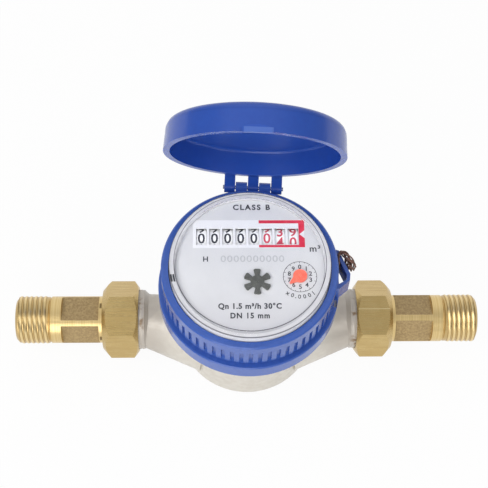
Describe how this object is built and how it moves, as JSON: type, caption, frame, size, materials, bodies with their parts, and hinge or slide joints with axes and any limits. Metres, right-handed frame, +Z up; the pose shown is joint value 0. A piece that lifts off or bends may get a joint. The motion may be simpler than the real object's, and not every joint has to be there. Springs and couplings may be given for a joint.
{
  "type": "water meter",
  "caption": "Cold-water meter with a round body, hinged lid over a clear dial with number drums, and threaded union couplings on both sides.",
  "frame": {"origin": "centre of the flat base under the meter axis", "axes": "+X along the flow from inlet to outlet, +Y towards the lid hinge, +Z up along the meter axis"},
  "size_m": [0.206, 0.0927, 0.1436],
  "materials": {
    "meter_body": "satin coating over brass",
    "strainer": "plain",
    "inlet_gasket": "matte",
    "outlet_gasket": "matte",
    "inlet_tailpiece": "turned and as cast",
    "outlet_tailpiece": "turned and as cast",
    "inlet_nut": "turned",
    "outlet_nut": "turned",
    "impeller_pivot": "ground",
    "impeller": "plain",
    "drive_magnet": "bonded ferrite",
    "chamber_cover": "plain",
    "separator_plate": "plain",
    "separator_seal": "matte",
    "register_case": "plain",
    "driven_magnet": "bonded ferrite",
    "magnet_arbor": "plain",
    "star_arbor": "plain",
    "idler_arbor": "plain",
    "pointer_arbor": "plain",
    "worm_arbor": "plain",
    "bridge_plate": "plain",
    "drum_frame": "plain",
    "drum_shaft": "ground",
    "carry_shaft": "ground",
    "number_drum_1": "plain with printed figures",
    "number_drum_2": "plain with printed figures",
    "number_drum_3": "plain with printed figures",
    "number_drum_4": "plain with printed figures",
    "number_drum_5": "plain with printed figures",
    "number_drum_6": "plain with printed figures",
    "number_drum_7": "plain with printed figures",
    "number_drum_8": "plain with printed figures",
    "carry_pinion_1": "plain",
    "carry_pinion_2": "plain",
    "carry_pinion_3": "plain",
    "carry_pinion_4": "plain",
    "carry_pinion_5": "plain",
    "carry_pinion_6": "plain",
    "carry_pinion_7": "plain",
    "dial_plate": "printed",
    "star_indicator": "plain",
    "flow_pointer": "plain",
    "lens_gasket": "matte",
    "lens": "clear",
    "cover_ring": "satin",
    "hinge_pin": "plain",
    "lid": "satin",
    "seal_wire": "tarnished copper"
  },
  "bodies": {
    "meter": {"meter_body": "meter_body", "strainer": "strainer", "inlet_gasket": "inlet_gasket", "outlet_gasket": "outlet_gasket", "inlet_tailpiece": "inlet_tailpiece", "outlet_tailpiece": "outlet_tailpiece", "impeller_pivot": "impeller_pivot", "chamber_cover": "chamber_cover", "separator_plate": "separator_plate", "separator_seal": "separator_seal", "register_case": "register_case", "bridge_plate": "bridge_plate", "drum_frame": "drum_frame", "drum_shaft": "drum_shaft", "carry_shaft": "carry_shaft", "dial_plate": "dial_plate", "lens_gasket": "lens_gasket", "lens": "lens", "cover_ring": "cover_ring", "hinge_pin": "hinge_pin", "seal_wire": "seal_wire"},
    "lid": {"lid": "lid"},
    "inlet_nut": {"inlet_nut": "inlet_nut"},
    "outlet_nut": {"outlet_nut": "outlet_nut"},
    "impeller": {"impeller": "impeller", "drive_magnet": "drive_magnet"},
    "magnet_arbor": {"magnet_arbor": "magnet_arbor", "driven_magnet": "driven_magnet"},
    "star": {"star_arbor": "star_arbor", "star_indicator": "star_indicator"},
    "idler": {"idler_arbor": "idler_arbor"},
    "pointer": {"pointer_arbor": "pointer_arbor", "flow_pointer": "flow_pointer"},
    "worm": {"worm_arbor": "worm_arbor"},
    "number_drum_1": {"number_drum_1": "number_drum_1"},
    "number_drum_2": {"number_drum_2": "number_drum_2"},
    "number_drum_3": {"number_drum_3": "number_drum_3"},
    "number_drum_4": {"number_drum_4": "number_drum_4"},
    "number_drum_5": {"number_drum_5": "number_drum_5"},
    "number_drum_6": {"number_drum_6": "number_drum_6"},
    "number_drum_7": {"number_drum_7": "number_drum_7"},
    "number_drum_8": {"number_drum_8": "number_drum_8"},
    "carry_pinion_1": {"carry_pinion_1": "carry_pinion_1"},
    "carry_pinion_2": {"carry_pinion_2": "carry_pinion_2"},
    "carry_pinion_3": {"carry_pinion_3": "carry_pinion_3"},
    "carry_pinion_4": {"carry_pinion_4": "carry_pinion_4"},
    "carry_pinion_5": {"carry_pinion_5": "carry_pinion_5"},
    "carry_pinion_6": {"carry_pinion_6": "carry_pinion_6"},
    "carry_pinion_7": {"carry_pinion_7": "carry_pinion_7"}
  },
  "joints": [
    {"name": "lid_hinge", "type": "hinge", "parent": "meter", "child": "lid", "pos_m": [0.0021, 0.04014, 0.0665], "axis": [-0.9986, 0.0523, 0], "range_deg": [-72.3, 37.7]},
    {"name": "inlet_nut_turn", "type": "hinge", "parent": "meter", "child": "inlet_nut", "pos_m": [-0.057, 0, 0.018], "axis": [-1, 0, 0], "continuous": true},
    {"name": "outlet_nut_turn", "type": "hinge", "parent": "meter", "child": "outlet_nut", "pos_m": [0.057, 0, 0.018], "axis": [1, 0, 0], "continuous": true},
    {"name": "impeller_spin", "type": "hinge", "parent": "meter", "child": "impeller", "pos_m": [0, 0, 0.02], "axis": [0, 0, 1], "continuous": true},
    {"name": "magnet_spin", "type": "hinge", "parent": "meter", "child": "magnet_arbor", "pos_m": [0, 0, 0.055], "axis": [0, 0, 1], "continuous": true},
    {"name": "star_spin", "type": "hinge", "parent": "meter", "child": "star", "pos_m": [0.00292, -0.00745, 0.06], "axis": [0, 0, 1], "continuous": true},
    {"name": "idler_spin", "type": "hinge", "parent": "meter", "child": "idler", "pos_m": [0.01238, -0.01069, 0.06], "axis": [0, 0, 1], "continuous": true},
    {"name": "pointer_spin", "type": "hinge", "parent": "meter", "child": "pointer", "pos_m": [0.0206, -0.005, 0.06], "axis": [0, 0, 1], "continuous": true},
    {"name": "worm_spin", "type": "hinge", "parent": "meter", "child": "worm", "pos_m": [0.0242, 0.0055, 0.06], "axis": [0, 0, 1], "continuous": true},
    {"name": "drum_1_turn", "type": "hinge", "parent": "meter", "child": "number_drum_1", "pos_m": [0.01835, 0.014, 0.0623], "axis": [-1, 0, 0], "continuous": true},
    {"name": "drum_2_turn", "type": "hinge", "parent": "meter", "child": "number_drum_2", "pos_m": [0.01285, 0.014, 0.0623], "axis": [-1, 0, 0], "continuous": true},
    {"name": "drum_3_turn", "type": "hinge", "parent": "meter", "child": "number_drum_3", "pos_m": [0.00735, 0.014, 0.0623], "axis": [-1, 0, 0], "continuous": true},
    {"name": "drum_4_turn", "type": "hinge", "parent": "meter", "child": "number_drum_4", "pos_m": [0.00185, 0.014, 0.0623], "axis": [-1, 0, 0], "continuous": true},
    {"name": "drum_5_turn", "type": "hinge", "parent": "meter", "child": "number_drum_5", "pos_m": [-0.00365, 0.014, 0.0623], "axis": [-1, 0, 0], "continuous": true},
    {"name": "drum_6_turn", "type": "hinge", "parent": "meter", "child": "number_drum_6", "pos_m": [-0.00915, 0.014, 0.0623], "axis": [-1, 0, 0], "continuous": true},
    {"name": "drum_7_turn", "type": "hinge", "parent": "meter", "child": "number_drum_7", "pos_m": [-0.01464, 0.014, 0.0623], "axis": [-1, 0, 0], "continuous": true},
    {"name": "drum_8_turn", "type": "hinge", "parent": "meter", "child": "number_drum_8", "pos_m": [-0.02014, 0.014, 0.0623], "axis": [-1, 0, 0], "continuous": true},
    {"name": "carry_1_turn", "type": "hinge", "parent": "meter", "child": "carry_pinion_1", "pos_m": [0.0156, 0.02097, 0.05645], "axis": [-1, 0, 0], "continuous": true},
    {"name": "carry_2_turn", "type": "hinge", "parent": "meter", "child": "carry_pinion_2", "pos_m": [0.0101, 0.02097, 0.05645], "axis": [-1, 0, 0], "continuous": true},
    {"name": "carry_3_turn", "type": "hinge", "parent": "meter", "child": "carry_pinion_3", "pos_m": [0.0046, 0.02097, 0.05645], "axis": [-1, 0, 0], "continuous": true},
    {"name": "carry_4_turn", "type": "hinge", "parent": "meter", "child": "carry_pinion_4", "pos_m": [-0.0009, 0.02097, 0.05645], "axis": [-1, 0, 0], "continuous": true},
    {"name": "carry_5_turn", "type": "hinge", "parent": "meter", "child": "carry_pinion_5", "pos_m": [-0.0064, 0.02097, 0.05645], "axis": [-1, 0, 0], "continuous": true},
    {"name": "carry_6_turn", "type": "hinge", "parent": "meter", "child": "carry_pinion_6", "pos_m": [-0.01189, 0.02097, 0.05645], "axis": [-1, 0, 0], "continuous": true},
    {"name": "carry_7_turn", "type": "hinge", "parent": "meter", "child": "carry_pinion_7", "pos_m": [-0.01739, 0.02097, 0.05645], "axis": [-1, 0, 0], "continuous": true}
  ],
  "couplings": [
    {"joint": "magnet_spin", "follows": "impeller_spin", "ratio": 1},
    {"joint": "star_spin", "follows": "impeller_spin", "ratio": -0.45455},
    {"joint": "idler_spin", "follows": "impeller_spin", "ratio": 0.15152},
    {"joint": "pointer_spin", "follows": "impeller_spin", "ratio": -0.050505},
    {"joint": "worm_spin", "follows": "impeller_spin", "ratio": 0.10101},
    {"joint": "drum_1_turn", "follows": "impeller_spin", "ratio": 0.0050505},
    {"joint": "drum_2_turn", "follows": "impeller_spin", "ratio": 0.00050505},
    {"joint": "drum_3_turn", "follows": "impeller_spin", "ratio": 0.000050505},
    {"joint": "drum_4_turn", "follows": "impeller_spin", "ratio": 0.0000050505},
    {"joint": "drum_5_turn", "follows": "impeller_spin", "ratio": 0.00000050505},
    {"joint": "drum_6_turn", "follows": "impeller_spin", "ratio": 0.000000050505},
    {"joint": "drum_7_turn", "follows": "impeller_spin", "ratio": 0.0000000050505},
    {"joint": "drum_8_turn", "follows": "impeller_spin", "ratio": 0.00000000050505},
    {"joint": "carry_1_turn", "follows": "impeller_spin", "ratio": -0.0012626},
    {"joint": "carry_2_turn", "follows": "impeller_spin", "ratio": -0.00012626},
    {"joint": "carry_3_turn", "follows": "impeller_spin", "ratio": -0.000012626},
    {"joint": "carry_4_turn", "follows": "impeller_spin", "ratio": -0.0000012626},
    {"joint": "carry_5_turn", "follows": "impeller_spin", "ratio": -0.00000012626},
    {"joint": "carry_6_turn", "follows": "impeller_spin", "ratio": -0.000000012626},
    {"joint": "carry_7_turn", "follows": "impeller_spin", "ratio": -0.0000000012626}
  ]
}
